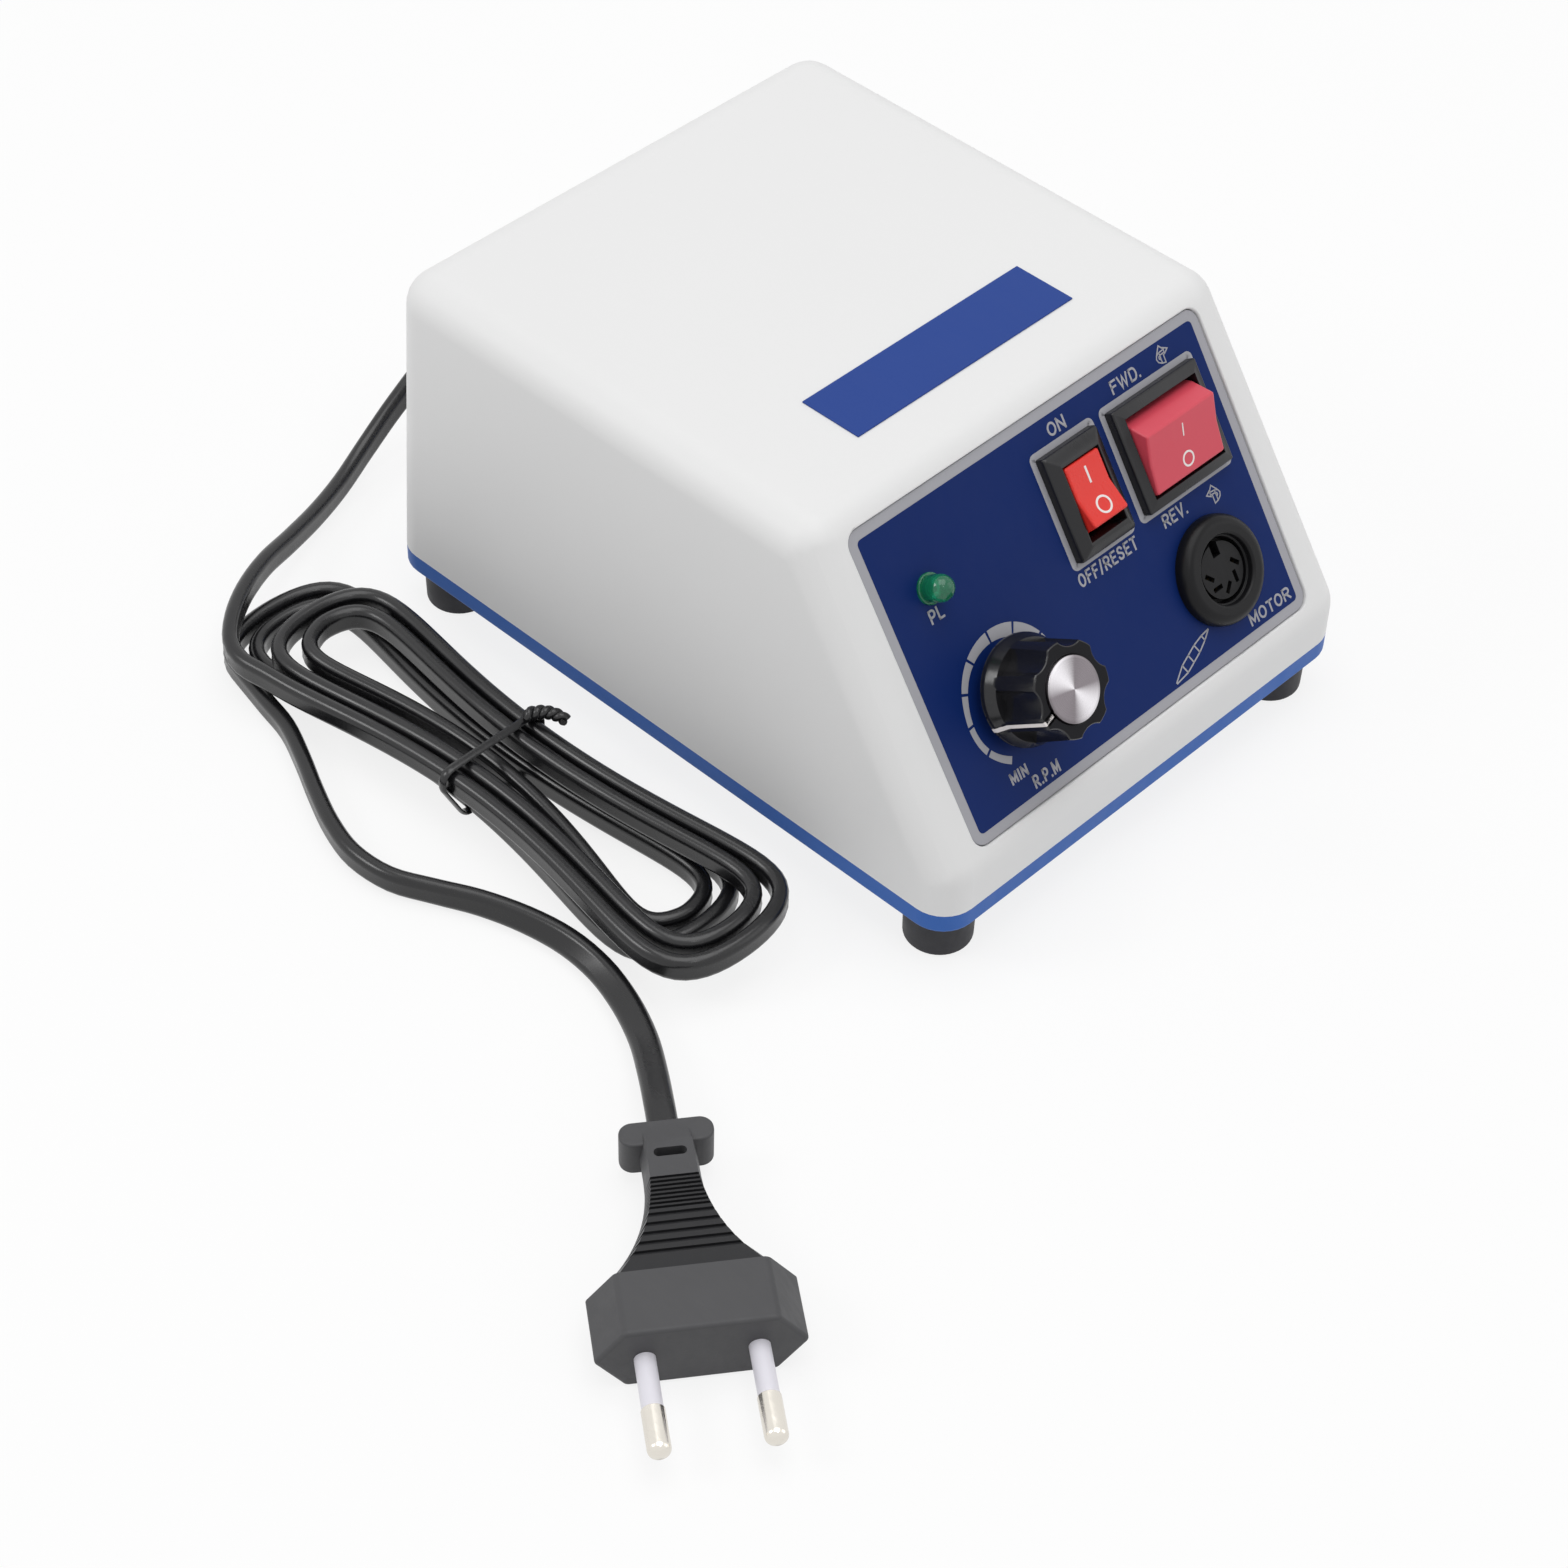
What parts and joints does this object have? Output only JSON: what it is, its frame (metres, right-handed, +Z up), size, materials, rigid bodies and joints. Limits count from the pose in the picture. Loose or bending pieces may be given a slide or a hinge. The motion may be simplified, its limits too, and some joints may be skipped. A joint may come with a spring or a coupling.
{
  "type": "micromotor control unit",
  "caption": "Bench control unit for a dental lab micromotor: sloped panel with rocker switches, speed knob, pilot lamp and motor socket, on rubber feet, with tied mains cord and plug.",
  "frame": {"origin": "on the floor, under the middle of the case with its knob", "axes": "+Z up, the sloping front panel faces -Y, +X to the right seen from the front"},
  "size_m": [0.2238, 0.2336, 0.0798],
  "materials": {
    "housing_white": "satin moulded plastic, off-white",
    "base_blue": "satin moulded plastic, blue",
    "panel_blue": "printed plate, dark blue with a silver border",
    "label_blue": "bare film strip",
    "black_plastic": "black moulded plastic",
    "rocker_orange": "glossy orange-red plastic",
    "rocker_red": "glossy red plastic",
    "lamp_green": "clear green resin",
    "cap_aluminium": "spun aluminium",
    "pointer_white": "white paint line",
    "brass": "turned brass",
    "steel": "zinc-plated steel",
    "core_steel": "laminated core steel",
    "winding_copper": "taped copper winding",
    "nickel": "nickel plating",
    "foot_rubber": "black rubber",
    "insulator": "dark moulded insulator",
    "board_green": "glass-fibre board",
    "component_black": "moulded component body",
    "sink_aluminium": "black anodised aluminium",
    "fuse_glass": "glass tube",
    "terminal_green": "green moulded plastic",
    "cord_black": "soft black cord sheath",
    "plug_black": "moulded plug",
    "sleeve_white": "pin insulation"
  },
  "bodies": {
    "case": {"upper_housing": "housing_white", "base_tray": "base_blue", "rubber_feet": "foot_rubber", "case_screws": "steel", "front_panel": "panel_blue", "top_label": "label_blue", "power_switch_body": "black_plastic", "power_switch_terminals": "brass", "direction_switch_body": "black_plastic", "direction_switch_terminals": "brass", "pilot_lamp": "lamp_green", "pilot_lamp_leads": "steel", "pot_bushing": "brass", "pot_body": "steel", "pot_nut": "nickel", "pot_washer": "nickel", "pot_terminals": "steel", "motor_socket": "black_plastic", "socket_insert": "insulator", "socket_contacts": "brass", "socket_nut": "nickel", "transformer_core": "core_steel", "transformer_winding": "winding_copper", "transformer_bracket": "steel", "transformer_screws": "steel", "control_board": "board_green", "board_standoffs": "brass", "board_screws": "steel", "filter_capacitor": "component_black", "bridge_rectifier": "component_black", "power_transistor": "component_black", "heat_sink": "sink_aluminium", "fuse": "fuse_glass", "fuse_clips": "nickel", "terminal_block": "terminal_green", "cord_gland": "cord_black", "cord_lead": "cord_black", "cord_hank": "cord_black", "cord_tail": "cord_black", "cord_tie": "cord_black", "plug_body": "plug_black", "plug_pin_sleeves": "sleeve_white", "plug_pins": "nickel"},
    "power_rocker": {"power_rocker": "rocker_orange"},
    "direction_rocker": {"direction_rocker": "rocker_red"},
    "knob": {"speed_knob": "black_plastic", "knob_cap": "cap_aluminium", "knob_pointer": "pointer_white", "knob_bush": "brass", "knob_grub_screw": "steel", "pot_shaft": "steel"}
  },
  "joints": [
    {"name": "power_rocker_tilt", "type": "hinge", "parent": "case", "child": "power_rocker", "pos_m": [0.0056, -0.04263, 0.05992], "axis": [1, 0, 0], "range_deg": [0, 20]},
    {"name": "direction_rocker_tilt", "type": "hinge", "parent": "case", "child": "direction_rocker", "pos_m": [0.0289, -0.04263, 0.05992], "axis": [1, 0, 0], "range_deg": [-28, 0]},
    {"name": "knob_turn", "type": "hinge", "parent": "case", "child": "knob", "pos_m": [-0.0256, -0.05717, 0.04211], "axis": [0, -0.8266, 0.5628], "range_deg": [-255, 43]}
  ]
}
